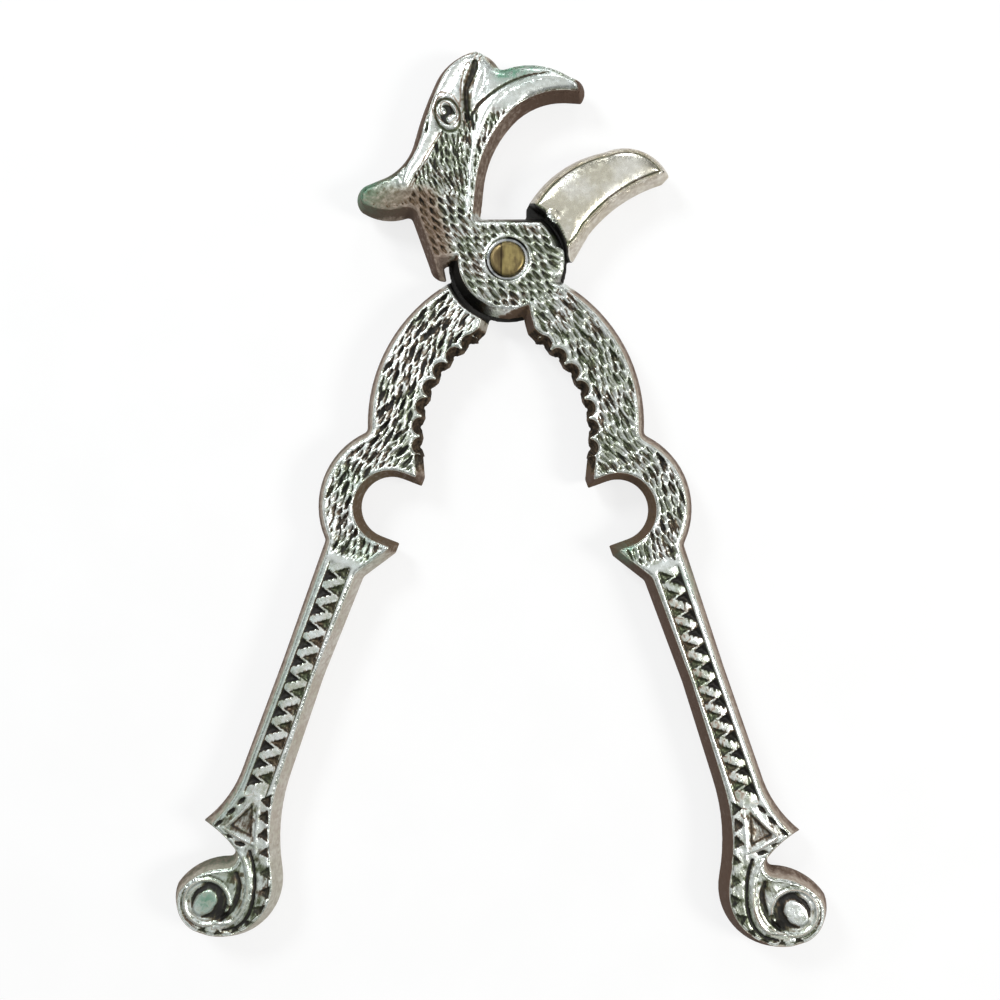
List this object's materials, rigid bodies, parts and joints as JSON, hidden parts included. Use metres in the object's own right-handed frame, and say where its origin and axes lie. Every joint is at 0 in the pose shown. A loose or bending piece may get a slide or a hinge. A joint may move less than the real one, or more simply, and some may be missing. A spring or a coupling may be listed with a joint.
{
  "type": "betel nut cutter",
  "caption": "Cast bird-shaped betel nut cutter: levers crossed on a rivet, with hooked beak and jaw, toothed arcs, opener notches and scrolled handles.",
  "frame": {"origin": "on the pivot axis, in the plane of the back faces that the cutter lies on", "axes": "+X to the right seen from the front, +Y from the pivot towards the bird's head, +Z out of the front face along the rivet"},
  "size_m": [0.1199, 0.1644, 0.0093],
  "materials": {
    "antique_silver": "cast metal plated in antique silver, dark patina in the carving",
    "brass": "dull peened brass",
    "bright_steel": "bright turned steel"
  },
  "bodies": {
    "front": {"front_lever": "antique_silver", "pivot_rivet": "brass", "front_washer": "bright_steel", "back_washer": "bright_steel"},
    "rear": {"rear_lever": "antique_silver"}
  },
  "joints": [
    {"name": "lever_pivot", "type": "hinge", "parent": "front", "child": "rear", "pos_m": [0, 0, 0.0045], "axis": [0, 0, 1], "range_deg": [0, 25.5]}
  ]
}
